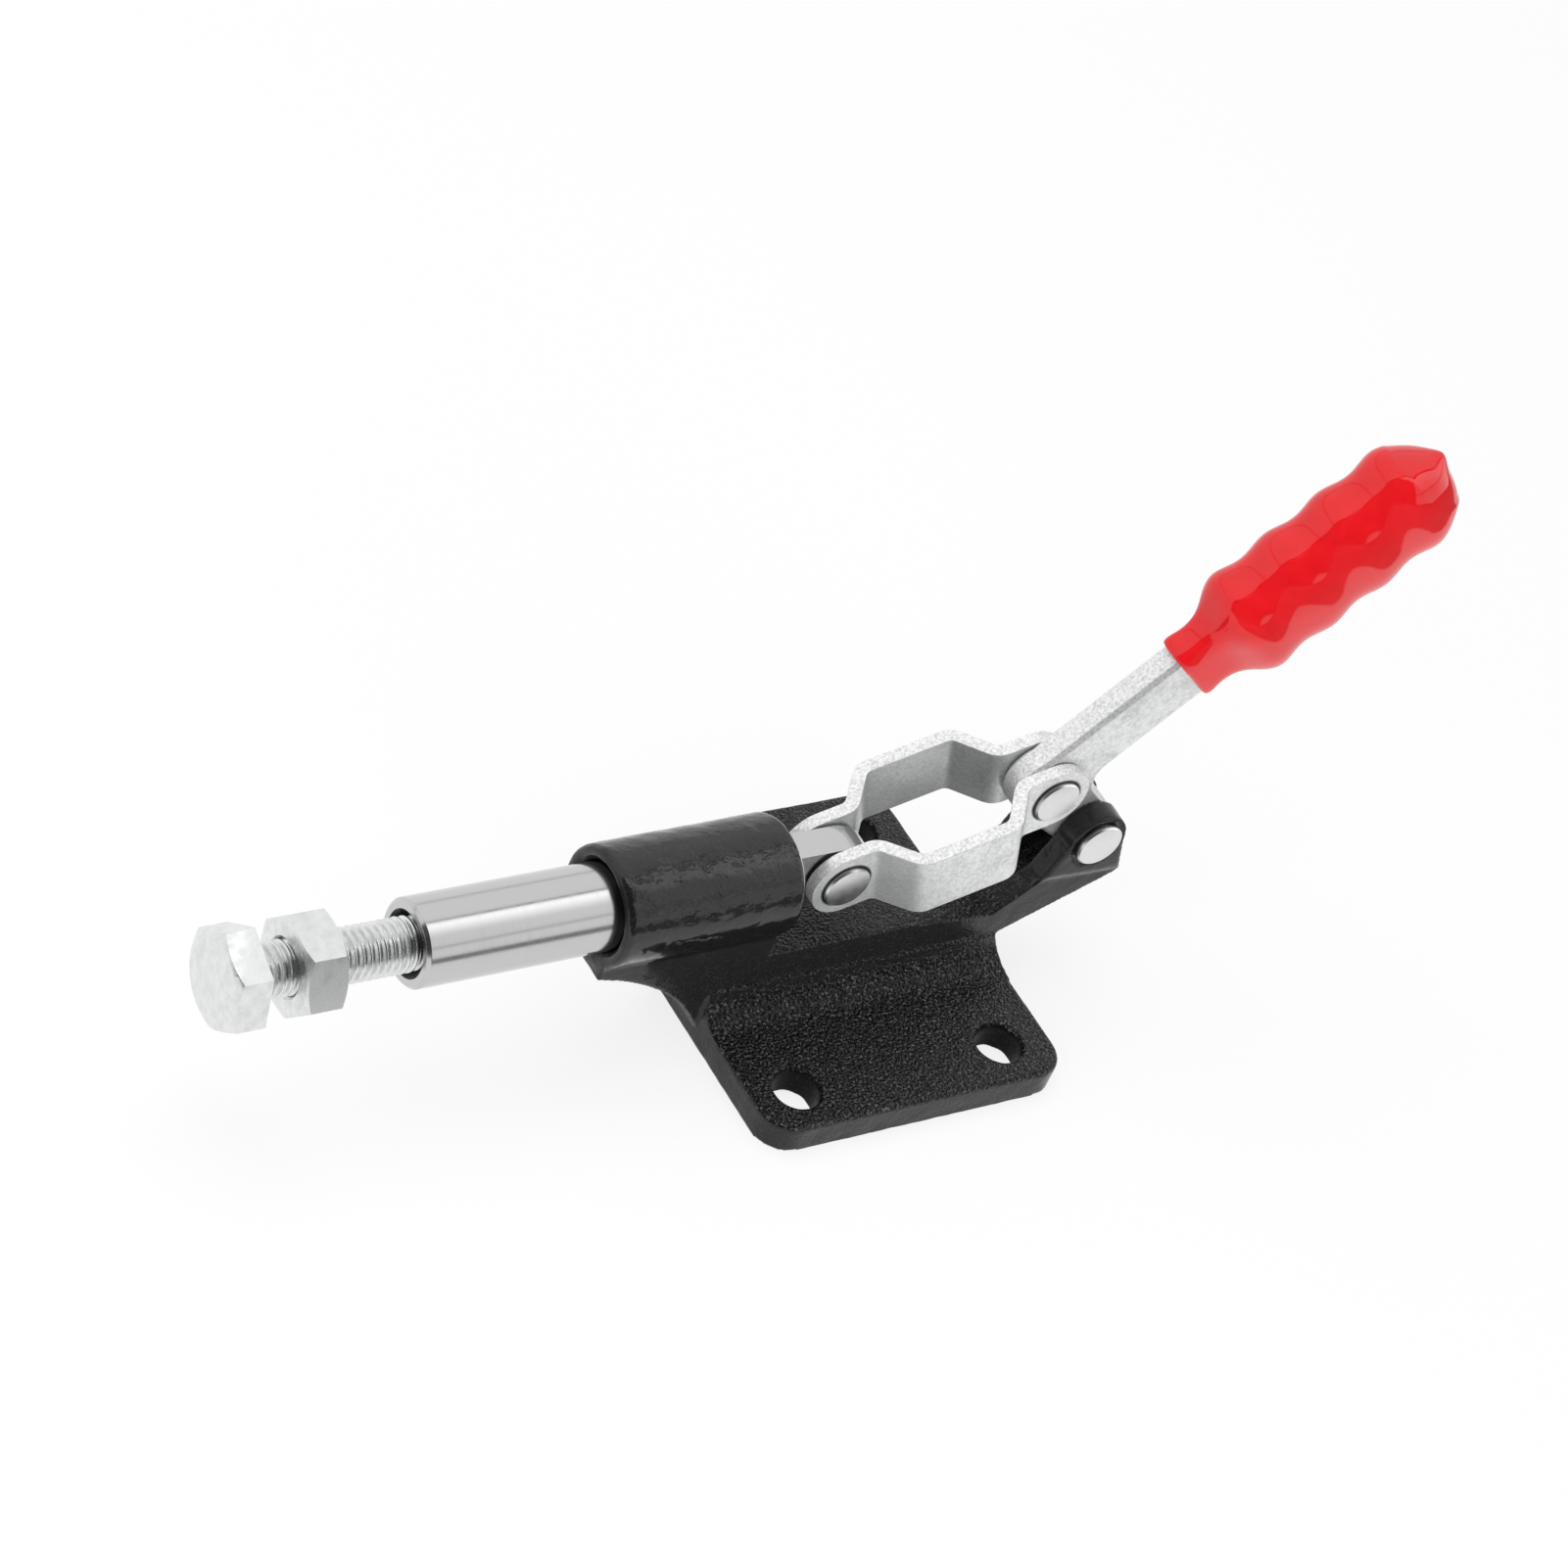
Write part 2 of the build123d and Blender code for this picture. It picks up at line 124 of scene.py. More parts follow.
def painted_casting(name, film_colour, shine, smoothest, lumps):
    """Semi-gloss black enamel over sand-cast iron. The sand shows as tight grain
    on the flange, and a thicker film higher up as soft lumps. Where the sand shows,
    the colour is a speckle darker than the film, painted shade for the sand's pits,
    with painted glints on its brightest flecks."""
    material, tree, shader = new_material(name)
    place = add(tree, "ShaderNodeTexCoord").outputs["Object"]
    where = add(tree, "ShaderNodeSeparateXYZ", {"Vector": place}).outputs
    facing = add(tree, "ShaderNodeSeparateXYZ", {
        "Vector": add(tree, "ShaderNodeNewGeometry").outputs["Normal"]}).outputs["Z"]
    low = add(tree, "ShaderNodeMapRange", {
        "Value": where["Z"], "From Min": SANDY_BELOW, "From Max": SMOOTH_ABOVE,
        "To Min": 1.0, "To Max": 0.1})
    level = add(tree, "ShaderNodeMapRange", {
        "Value": facing, "From Min": 0.1, "From Max": 0.5, "To Min": 0.15, "To Max": 1.0})
    # This sand mask also sets where the colour turns to the painted pit shade and glints.
    sandy = add(tree, "ShaderNodeMath", {0: low.outputs[0], 1: level.outputs[0]}, operation="MULTIPLY")
    grain = add(tree, "ShaderNodeTexNoise", {
        "Vector": place, "Scale": 1.0 / SAND_GRAIN, "Detail": 1.5, "Roughness": 0.5})
    wrinkle = add(tree, "ShaderNodeTexNoise", {
        "Vector": place, "Scale": 1.0 / PAINT_LUMP, "Detail": 2.5, "Roughness": 0.45, "Distortion": 0.5})
    thick = add(tree, "ShaderNodeMapRange", {
        "Value": where["Z"], "From Min": SANDY_BELOW, "From Max": SMOOTH_ABOVE,
        "To Min": 0.12, "To Max": lumps})
    beside = add(tree, "ShaderNodeMath", {0: where["Y"], 1: RIDGE_Y}, operation="SUBTRACT")
    off_ridge = add(tree, "ShaderNodeMath", {0: beside.outputs[0]}, operation="ABSOLUTE")
    ridge = add(tree, "ShaderNodeMapRange", {
        "Value": off_ridge.outputs[0], "From Min": 0.8 * MM, "From Max": 3.5 * MM,
        "To Min": 1.0, "To Max": 0.38})
    film = add(tree, "ShaderNodeMath", {0: thick.outputs[0], 1: ridge.outputs[0]}, operation="MULTIPLY")
    grain_bump = add(tree, "ShaderNodeBump", {
        "Height": grain.outputs["Fac"], "Distance": 0.7 * MM, "Strength": sandy.outputs[0]})
    all_bump = add(tree, "ShaderNodeBump", {
        "Height": wrinkle.outputs["Fac"], "Distance": 0.9 * MM, "Strength": film.outputs[0],
        "Normal": grain_bump.outputs["Normal"]})
    # On the sandy faces the colour is this speckle. It is darker than the film as painted shade in the
    # pits, and its top steps are painted glints.
    shade_and_glint_speckle = add(tree, "ShaderNodeTexNoise", {
        "Vector": place, "Scale": 1.0 / PIT_SHADE_GLINT_SPECKLE, "Detail": 1.0, "Roughness": 0.5})
    tone = add(tree, "ShaderNodeValToRGB", {"Fac": shade_and_glint_speckle.outputs["Fac"]})
    steps = ((0.0, "#060606"), (0.5, "#0C0C0C"), (0.58, "#1E1E1E"), (0.72, "#5C5C5C"))
    ramp = tone.color_ramp.elements
    for position, colour in steps:
        ramp.new(position).color = linear(colour)
    ramp.remove(ramp[-1])       # the two steps that a new ramp starts with
    ramp.remove(ramp[0])
    film_or_painted_speckle = add(tree, "ShaderNodeMix", {
        0: sandy.outputs[0], 6: linear(film_colour), 7: tone.outputs["Color"]}, data_type="RGBA")
    gloss = add(tree, "ShaderNodeMapRange", {
        "Value": wrinkle.outputs["Fac"], "From Min": 0.3, "From Max": 0.7,
        "To Min": smoothest, "To Max": smoothest + 0.1})
    shader.inputs["Specular IOR Level"].default_value = shine
    tree.links.new(film_or_painted_speckle.outputs[2], shader.inputs["Base Color"])
    tree.links.new(gloss.outputs["Result"], shader.inputs["Roughness"])
    tree.links.new(all_bump.outputs["Normal"], shader.inputs["Normal"])
    return material


SHARP = radians(25)         # a turn in the surface above this is an edge


def edge_softened(piece, width, segments=3):
    """Rounds a piece's sharp edges and keeps its flat faces flat in the light."""
    piece.data.shade_smooth()
    piece.data.set_sharp_from_angle(angle=SHARP)
    bevel = piece.modifiers.new("soft_edges", "BEVEL")
    bevel.width = width
    bevel.segments = segments
    bevel.limit_method = "ANGLE"
    bevel.angle_limit = SHARP
    bevel.use_clamp_overlap = True
    bevel.harden_normals = True
    return baked(piece)


CAST_EDGE = 0.5 * MM
SKIN_VOXEL = 0.5 * MM
SKIN_WAVE, SKIN_WAVE_DEEP = 4 * MM, 0.22 * MM

pattern = edge_softened(solid_copy("base_casting", "casting_pattern"), CAST_EDGE, segments=4)
casting = solid_copy("base_casting", "base_casting_skin")
skin = casting.modifiers.new("skin", "REMESH")
skin.mode = "VOXEL"
skin.voxel_size = SKIN_VOXEL
skin.use_smooth_shade = True
draw_on = casting.modifiers.new("draw_on", "SHRINKWRAP")
draw_on.target = pattern
soften = casting.modifiers.new("soften", "SMOOTH")
soften.factor = 0.5
soften.iterations = 1
swell_texture = bpy.data.textures.new("casting_lumps", "CLOUDS")
swell_texture.noise_scale = SKIN_WAVE
swell = casting.modifiers.new("swell", "DISPLACE")
swell.texture = swell_texture
swell.texture_coords = "LOCAL"
swell.strength = SKIN_WAVE_DEEP
swell.mid_level = 1.0     # every wave goes inwards
baked(casting)
bpy.data.objects.remove(pattern)


def middle(node):
    """The centre of a node's box."""
    low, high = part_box(node)
    return (Vector(low) + Vector(high)) / 2


# Each ear has a shallow seat cut round the pivot pin's head, a little wider than it.
PIVOT_HEAD, SEAT_WIDER, SEAT_DEEP = 4.75 * MM, 0.9 * MM, 0.5 * MM
EAR_MIDDLE = 7 * MM
pivot = middle("pivot_pin")
for corner in casting.data.vertices:
    reach = hypot(corner.co.x - pivot.x, corner.co.z - pivot.z)
    if abs(corner.co.y) > EAR_MIDDLE and reach < PIVOT_HEAD + SEAT_WIDER:
        corner.co.y -= copysign(SEAT_DEEP, corner.co.y)

# The third finish is darker and duller: painted shade on the walls of the bolt holes.
for finish in (
        painted_casting("black_enamel_on_sand_casting", "#242424", 0.27, 0.16, 0.35),
        painted_casting("black_enamel_pooled_on_barrel", "#171717", 0.5, 0.08, 0.8),
        painted_casting("black_enamel_painted_shade_in_holes", "#0C0C0C", 0.08, 0.3, 0.1)):
    casting.data.materials.append(finish)
ON_BARREL, IN_HOLE = 1, 2
for face in casting.data.polygons:
    from_bore = hypot(face.center.y, face.center.z - BORE_AXIS.z)
    from_holes = min((face.center.xy - hole).length for hole in bolt_holes)
    if abs(from_bore - BARREL_OUTER) < FILM_SWELL:
        face.material_index = ON_BARREL
    # The walls of the bolt holes take the painted shade.
    elif abs(face.normal.z) < 0.5 and from_holes < HOLE_RADIUS + HOLE_RIM:
        face.material_index = IN_HOLE
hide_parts("base_casting")
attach(casting, "base")


# ---- Plunger ----------------------------------------------------------------
# A steel bar turned and ground to a running fit in the barrel, left bright.
# Grinding runs round the bar, so light spreads along its length.
GRINDING_RING = 0.5 * MM    # real rings are finer; drawn as coarse as they need to show


def ground_steel():
    """Ground steel: fine rings round the bar, bright where it faces the light."""
    material, tree, shader = new_material("ground_steel")
    place = add(tree, "ShaderNodeTexCoord").outputs["Object"]
    stretched = add(tree, "ShaderNodeMapping", {"Vector": place, "Scale": (1.0, 0.03, 0.03)})
    rings = add(tree, "ShaderNodeTexNoise", {
        "Vector": stretched.outputs["Vector"], "Scale": 1.0 / GRINDING_RING,
        "Detail": 2.0, "Roughness": 0.5})
    bump = add(tree, "ShaderNodeBump", {
        "Height": rings.outputs["Fac"], "Distance": 0.003 * MM, "Strength": 0.4})
    gloss = add(tree, "ShaderNodeMapRange", {
        "Value": rings.outputs["Fac"], "From Min": 0.3, "From Max": 0.7,
        "To Min": 0.15, "To Max": 0.22})
    shader.inputs["Metallic"].default_value = 1.0
    shader.inputs["Base Color"].default_value = linear("#C6C6C6")
    tree.links.new(gloss.outputs["Result"], shader.inputs["Roughness"])
    tree.links.new(bump.outputs["Normal"], shader.inputs["Normal"])
    return material


def darkened_bore():
    """The tapped hole, coloured near black inside; turning left fine rings in it."""
    material, tree, shader = new_material("darkened_tapped_hole")
    place = add(tree, "ShaderNodeTexCoord").outputs["Object"]
    turned = add(tree, "ShaderNodeTexWave", {
        "Vector": place, "Scale": 1.0 / (3 * MM), "Distortion": 0.4}, bands_direction="X")
    gloss = add(tree, "ShaderNodeMapRange", {
        "Value": turned.outputs["Fac"], "To Min": 0.3, "To Max": 0.5})
    shader.inputs["Metallic"].default_value = 0.6
    shader.inputs["Base Color"].default_value = linear("#1A1918")
    tree.links.new(gloss.outputs["Result"], shader.inputs["Roughness"])
    return material


PIN_TO_SHOULDER = 8.6 * MM
SHOULDER_BACK = 2.3 * MM    # the round part of the rod ends this much further forward
SOCKET_RADIUS = 6.15 * MM
SOCKET_TO_SHOULDER = 10 * MM
GROUND_EDGE = 0.12 * MM

rod = solid_copy("plunger", "plunger_rod")
shoulder_x = middle("plunger_pin").x - PIN_TO_SHOULDER
rod_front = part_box("plunger")[0][0]
for corner in rod.data.vertices:
    if abs(corner.co.x - shoulder_x) < 0.05 * MM:
        corner.co.x -= SHOULDER_BACK
edge_softened(rod, GROUND_EDGE)
rod.data.materials.append(ground_steel())
rod.data.materials.append(darkened_bore())
IN_SOCKET = 1
for face in rod.data.polygons:
    from_axis = hypot(face.center.y, face.center.z - BORE_AXIS.z)
    not_front_face = abs(face.normal.x) < 0.9 or face.center.x > rod_front + 0.1 * MM
    ahead_of_shoulder = face.center.x < shoulder_x - SOCKET_TO_SHOULDER
    if not_front_face and ahead_of_shoulder and from_axis < SOCKET_RADIUS:
        face.material_index = IN_SOCKET
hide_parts("plunger")
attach(rod, "plunger")


# ---- Spindle bolt and lock nut ----------------------------------------------
# A fully threaded M10 hexagon bolt that meets the work, and the nut that locks it.
# Both are cold-forged steel with bright zinc plate; the thread is rolled.
def zinc_plate(name, dark, light, mottle_mm, depth_mm, sheen):
    """Bright zinc plate: pale metal, faintly mottled by the steel under it."""
    material, tree, shader = new_material(name)
    place = add(tree, "ShaderNodeTexCoord").outputs["Object"]
    mottle = add(tree, "ShaderNodeTexNoise", {
        "Vector": place, "Scale": 1.0 / (mottle_mm * MM), "Detail": 3.0, "Roughness": 0.6})
    bump = add(tree, "ShaderNodeBump", {
        "Height": mottle.outputs["Fac"], "Distance": depth_mm * MM, "Strength": 0.6})
    tone = add(tree, "ShaderNodeValToRGB", {"Fac": mottle.outputs["Fac"]})
    tone.color_ramp.elements[0].position = 0.35
    tone.color_ramp.elements[0].color = linear(dark)
    tone.color_ramp.elements[1].position = 0.6
    tone.color_ramp.elements[1].color = linear(light)
    gloss = add(tree, "ShaderNodeMapRange", {
        "Value": mottle.outputs["Fac"], "From Min": 0.3, "From Max": 0.7,
        "To Min": sheen + 0.06, "To Max": sheen - 0.06})
    shader.inputs["Metallic"].default_value = 1.0
    tree.links.new(tone.outputs["Color"], shader.inputs["Base Color"])
    tree.links.new(gloss.outputs["Result"], shader.inputs["Roughness"])
    tree.links.new(bump.outputs["Normal"], shader.inputs["Normal"])
    return material


def screw_thread(material):
    """Geometry Nodes tree for a rolled 60 degree thread that runs along -X from its tip."""
    tree = bpy.data.node_groups.new("screw_thread", "GeometryNodeTree")
    for name in ("Tip X", "Axis Height", "Length", "Pitch",
                 "Root Radius", "Crest Radius", "Tip Radius"):
        tree.interface.new_socket(name, in_out="INPUT", socket_type="NodeSocketFloat")
    for name in ("Rows", "Sides"):
        tree.interface.new_socket(name, in_out="INPUT", socket_type="NodeSocketInt")
    tree.interface.new_socket("Thread", in_out="OUTPUT", socket_type="NodeSocketGeometry")
    size = add(tree, "NodeGroupInput").outputs

    def sums(kind, first, second=0.0, third=0.0):
        """The result of one Math node."""
        inputs = {0: first, 1: second, 2: third}
        return add(tree, "ShaderNodeMath", inputs, operation=kind).outputs[0]

    sheet = add(tree, "GeometryNodeMeshGrid", {
        "Size X": 1.0, "Size Y": 1.0, "Vertices X": size["Rows"], "Vertices Y": size["Sides"]})
    flat = add(tree, "ShaderNodeSeparateXYZ", {
        "Vector": add(tree, "GeometryNodeInputPosition").outputs[0]})
    along = sums("MULTIPLY", sums("ADD", flat.outputs["X"], 0.5), size["Length"])
    turn = sums("ADD", flat.outputs["Y"], 0.5)
    phase = sums("FRACT", sums("SUBTRACT", sums("DIVIDE", along, size["Pitch"]), turn))
    ridge = sums("SUBTRACT", 1.0, sums("ABSOLUTE", sums("MULTIPLY_ADD", phase, 2.0, -1.0)))
    flank = add(tree, "ShaderNodeMapRange", {
        "Value": ridge, "From Min": 0.15, "From Max": 0.85,
        "To Min": size["Root Radius"], "To Max": size["Crest Radius"]},
        interpolation_type="SMOOTHSTEP")
    from_end = sums("MINIMUM", along, sums("SUBTRACT", size["Length"], along))
    radius = sums("MINIMUM", flank.outputs[0], sums("ADD", size["Tip Radius"], from_end))
    angle = sums("MULTIPLY", turn, 2 * pi)
    wrapped = add(tree, "ShaderNodeCombineXYZ", {
        "X": sums("SUBTRACT", size["Tip X"], along),
        "Y": sums("MULTIPLY", radius, sums("COSINE", angle)),
        "Z": sums("MULTIPLY_ADD", radius, sums("SINE", angle), size["Axis Height"])})
    tube = add(tree, "GeometryNodeSetPosition", {
        "Geometry": sheet.outputs["Mesh"], "Position": wrapped.outputs[0]})
    ends = add(tree, "GeometryNodeJoinGeometry")
    for end_x in (size["Tip X"], sums("SUBTRACT", size["Tip X"], size["Length"])):
        disc = add(tree, "GeometryNodeMeshCircle", {
            "Vertices": sums("SUBTRACT", size["Sides"], 1.0), "Radius": size["Tip Radius"]},
            fill_type="NGON")
        stood = add(tree, "GeometryNodeTransform", {
            "Geometry": disc.outputs["Mesh"], "Rotation": (0.0, pi / 2, 0.0),
            "Translation": add(tree, "ShaderNodeCombineXYZ", {
                "X": end_x, "Z": size["Axis Height"]}).outputs[0]})
        tree.links.new(stood.outputs["Geometry"], ends.inputs[0])
    tree.links.new(tube.outputs["Geometry"], ends.inputs[0])
    closed = add(tree, "GeometryNodeMergeByDistance", {
        "Geometry": ends.outputs[0], "Distance": 0.001 * MM})
    real = add(tree, "GeometryNodeRealizeInstances", {"Geometry": closed.outputs["Geometry"]})
    finished = add(tree, "GeometryNodeSetMaterial", {
        "Geometry": real.outputs["Geometry"], "Material": material})
    add(tree, "NodeGroupOutput", {"Thread": finished.outputs["Geometry"]})
    return tree


def grown(tree, name, sizes):
    """A piece that a Geometry Nodes tree makes from its named sizes."""
    piece = bpy.data.objects.new(name, bpy.data.meshes.new(name))
    bpy.context.scene.collection.objects.link(piece)
    maker = piece.modifiers.new("maker", "NODES")
    maker.node_group = tree
    for socket in tree.interface.items_tree:
        if socket.in_out == "INPUT":
            maker[socket.identifier] = sizes[socket.name]
    return baked(piece)


zinc = zinc_plate("bright_zinc_on_forged_steel", "#DDDEDF", "#E7E8E8", 2.2, 0.004, 0.28)
HEAD_THICK = 6.4 * MM
THREAD_INTO_HEAD = 1.5 * MM
FORGED_EDGE = 0.18 * MM
bolt_low, bolt_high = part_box("spindle_bolt")
head_underside = bolt_low[0] + HEAD_THICK

bolt = solid_copy("spindle_bolt", "spindle_bolt_plated")
head = bmesh.new()
head.from_mesh(bolt.data)
shank = [corner for corner in head.verts if corner.co.x > head_underside + 0.05 * MM]
bmesh.ops.delete(head, geom=shank, context="VERTS")
rims = [edge for edge in head.edges if edge.is_boundary]
bmesh.ops.holes_fill(head, edges=rims)
bmesh.ops.recalc_face_normals(head, faces=head.faces)
head.to_mesh(bolt.data)
head.free()
edge_softened(bolt, FORGED_EDGE)
thread = grown(screw_thread(zinc), "spindle_thread", {
    "Tip X": bolt_high[0], "Axis Height": BORE_AXIS.z,
    "Length": bolt_high[0] - head_underside + THREAD_INTO_HEAD,
    "Pitch": 1.5 * MM, "Root Radius": 4.1 * MM, "Crest Radius": 4.97 * MM,
    "Tip Radius": 3.9 * MM, "Rows": 412, "Sides": 49})
rolled = bmesh.new()
rolled.from_mesh(thread.data)
bmesh.ops.recalc_face_normals(rolled, faces=rolled.faces)
rolled.to_mesh(thread.data)
rolled.free()
thread.data.shade_smooth()
whole = bmesh.new()
whole.from_mesh(bolt.data)
whole.from_mesh(thread.data)
whole.to_mesh(bolt.data)
whole.free()
bpy.data.objects.remove(thread)
bolt.data.materials.clear()
bolt.data.materials.append(zinc)
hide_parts("spindle_bolt")
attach(bolt, "spindle")

nut = edge_softened(solid_copy("lock_nut", "lock_nut_plated"), FORGED_EDGE)
nut.data.materials.append(zinc)
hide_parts("lock_nut")
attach(nut, "lock_nut")


# ---- Links and their pins ---------------------------------------------------
# Two strips blanked and joggled from sheet steel, zinc plated, riveted over the
# link pin and the plunger pin. Blanking leaves the cut edges rough and bright.
PIN_HEAD = 4.6 * MM
ZINC_SPECKLE, ZINC_BLOOM = 0.8 * MM, 7 * MM


def rolled_zinc(name, pins):
    """Zinc over rolled sheet: grey bloom and pits, with a ring of painted shade round each rivet."""
    material, tree, shader = new_material(name)
    place = add(tree, "ShaderNodeTexCoord").outputs["Object"]
    speckle = add(tree, "ShaderNodeTexNoise", {
        "Vector": place, "Scale": 1.0 / ZINC_SPECKLE, "Detail": 3.0, "Roughness": 0.65})
    bloom = add(tree, "ShaderNodeTexNoise", {
        "Vector": place, "Scale": 1.0 / ZINC_BLOOM, "Detail": 2.0})
    both = add(tree, "ShaderNodeMath", {
        0: bloom.outputs["Fac"], 1: 0.6, 2: speckle.outputs["Fac"]}, operation="MULTIPLY_ADD")
    tone = add(tree, "ShaderNodeValToRGB", {"Fac": both.outputs[0]})
    tone.color_ramp.elements[0].position = 0.6
    tone.color_ramp.elements[0].color = linear("#CDCFD0")
    tone.color_ramp.elements[1].position = 0.95
    tone.color_ramp.elements[1].color = linear("#ECEDED")
    colour = tone.outputs["Color"]
    # A dark ring just outside each rivet head is painted shade, where the head's edge meets the strip.
    for pin in pins:
        flat = add(tree, "ShaderNodeVectorMath", {
            0: place, 1: (1.0, 0.0, 1.0)}, operation="MULTIPLY")
        reach = add(tree, "ShaderNodeVectorMath", {
            0: flat.outputs[0], 1: (pin.x, 0.0, pin.z)}, operation="DISTANCE")
        shadow = add(tree, "ShaderNodeMapRange", {
            "Value": reach.outputs["Value"],
            "From Min": PIN_HEAD + 0.35 * MM, "From Max": PIN_HEAD + 0.75 * MM})
        ring_painted_shade = add(tree, "ShaderNodeMix", {
            0: shadow.outputs[0], 6: linear("#232324"), 7: colour}, data_type="RGBA")
        colour = ring_painted_shade.outputs[2]
    bump = add(tree, "ShaderNodeBump", {
        "Height": speckle.outputs["Fac"], "Distance": 0.05 * MM, "Strength": 0.5})
    gloss = add(tree, "ShaderNodeMapRange", {
        "Value": speckle.outputs["Fac"], "From Min": 0.3, "From Max": 0.7,
        "To Min": 0.5, "To Max": 0.34})
    shader.inputs["Metallic"].default_value = 0.7
    tree.links.new(colour, shader.inputs["Base Color"])
    tree.links.new(gloss.outputs["Result"], shader.inputs["Roughness"])
    tree.links.new(bump.outputs["Normal"], shader.inputs["Normal"])
    return material


cut_zinc = zinc_plate("bright_zinc_on_cut_edge", "#D2D3D4", "#F8F8F8", 0.55, 0.07, 0.5)
cut_zinc.node_tree.nodes["Principled BSDF"].inputs["Metallic"].default_value = 0.7
PLAIN_FACE, CUT_FACE = 0, 1
faces_zinc = rolled_zinc("zinc_on_rolled_sheet", [middle("plunger_pin"), middle("link_pin")])
BLANKED_EDGE = 0.16 * MM


def blanked(node, name, across_axis, body):
    """A piece cut from sheet: its cut edges take a rougher, brighter zinc."""
    piece = edge_softened(solid_copy(node, name), BLANKED_EDGE)
    piece.data.materials.append(faces_zinc)
    piece.data.materials.append(cut_zinc)
    for face in piece.data.polygons:
        cut = abs(face.normal.y) < 0.3 or abs(face.normal.dot(across_axis)) > 0.5
        face.material_index = CUT_FACE if cut else PLAIN_FACE
    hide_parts(node)
    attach(piece, body)


link_run = middle("link_pin") - middle("plunger_pin")
link_up = Vector((-link_run.z, 0, link_run.x)).normalized()
for node in ("link_near", "link_far"):
    blanked(node, node + "_plated", link_up, "links")


def peened_head(node):
    """Bright steel, peened over: the head is very slightly domed and dimpled."""
    material, tree, shader = new_material("peened_steel_" + node)
    place = add(tree, "ShaderNodeTexCoord").outputs["Object"]
    flat = add(tree, "ShaderNodeVectorMath", {0: place, 1: (1.0, 0.0, 1.0)}, operation="MULTIPLY")
    centre = middle(node)
    reach = add(tree, "ShaderNodeVectorMath", {
        0: flat.outputs[0], 1: (centre.x, 0.0, centre.z)}, operation="DISTANCE")
    across_head = add(tree, "ShaderNodeMath", {
        0: reach.outputs["Value"], 1: PIN_HEAD}, operation="DIVIDE")
    dome = add(tree, "ShaderNodeMath", {0: across_head.outputs[0], 1: 2.0}, operation="POWER")
    fall = add(tree, "ShaderNodeMath", {0: 1.0, 1: dome.outputs[0]}, operation="SUBTRACT")
    dimples = add(tree, "ShaderNodeTexNoise", {
        "Vector": place, "Scale": 1.0 / (1.3 * MM), "Detail": 2.0, "Roughness": 0.5})
    round_bump = add(tree, "ShaderNodeBump", {"Height": fall.outputs[0], "Distance": 0.45 * MM})
    bump = add(tree, "ShaderNodeBump", {
        "Height": dimples.outputs["Fac"], "Distance": 0.03 * MM, "Strength": 0.5,
        "Normal": round_bump.outputs["Normal"]})
    gloss = add(tree, "ShaderNodeMapRange", {
        "Value": dimples.outputs["Fac"], "From Min": 0.3, "From Max": 0.7,
        "To Min": 0.4, "To Max": 0.3})
    shader.inputs["Metallic"].default_value = 1.0
    shader.inputs["Base Color"].default_value = linear("#E6E6E6")
    tree.links.new(gloss.outputs["Result"], shader.inputs["Roughness"])
    tree.links.new(bump.outputs["Normal"], shader.inputs["Normal"])
    return material


for node in ("plunger_pin", "link_pin", "pivot_pin"):
    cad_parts[node].material_slots[0].material = peened_head(node)


# ---- Handle lever -----------------------------------------------------------
# A flat bar blanked from thicker plate, its long edges broken, zinc plated.
# Its root turns on the pivot pin and carries the link pin.
LEVER_LEAN = radians(47.0)
lever_run = Vector((cos(LEVER_LEAN), 0, sin(LEVER_LEAN)))
lever_up = Vector((-lever_run.z, 0, lever_run.x))
blanked("handle_lever", "handle_lever_plated", lever_up, "handle")


# ---- Grip -------------------------------------------------------------------
# The lever's end is dipped in red vinyl, which sets soft and glossy over the
# finger waves and leaves one low drip where the last of it ran off.
ORANGE_PEEL = 3.5 * MM


def dipped_vinyl():
    """Glossy dipped PVC: even red, a wet-looking skin with a faint orange peel."""
    material, tree, shader = new_material("dipped_red_vinyl")
    place = add(tree, "ShaderNodeTexCoord").outputs["Object"]
    peel = add(tree, "ShaderNodeTexNoise", {
        "Vector": place, "Scale": 1.0 / ORANGE_PEEL, "Detail": 2.0})
    tone = add(tree, "ShaderNodeValToRGB", {"Fac": peel.outputs["Fac"]})
    tone.color_ramp.elements[0].position = 0.3
    tone.color_ramp.elements[0].color = linear("#D4141B")
    tone.color_ramp.elements[1].position = 0.7
    tone.color_ramp.elements[1].color = linear("#DB181E")
    gloss = add(tree, "ShaderNodeMapRange", {
        "Value": peel.outputs["Fac"], "From Min": 0.3, "From Max": 0.7,
        "To Min": 0.03, "To Max": 0.06})
    bump = add(tree, "ShaderNodeBump", {
        "Height": peel.outputs["Fac"], "Distance": 0.06 * MM, "Strength": 0.3})
    shader.inputs["IOR"].default_value = 1.48
    tree.links.new(tone.outputs["Color"], shader.inputs["Base Color"])
    tree.links.new(gloss.outputs["Result"], shader.inputs["Roughness"])
    tree.links.new(bump.outputs["Normal"], shader.inputs["Normal"])
    return material


DRIP_BACK, DRIP_TALL, DRIP_WIDE = 1.2 * MM, 0.9 * MM, 2.4 * MM
SETTLED_ROUND_DRIP, SETTLING_TURNS = 10 * MM, 120
VINYL_VOXEL = 0.4 * MM

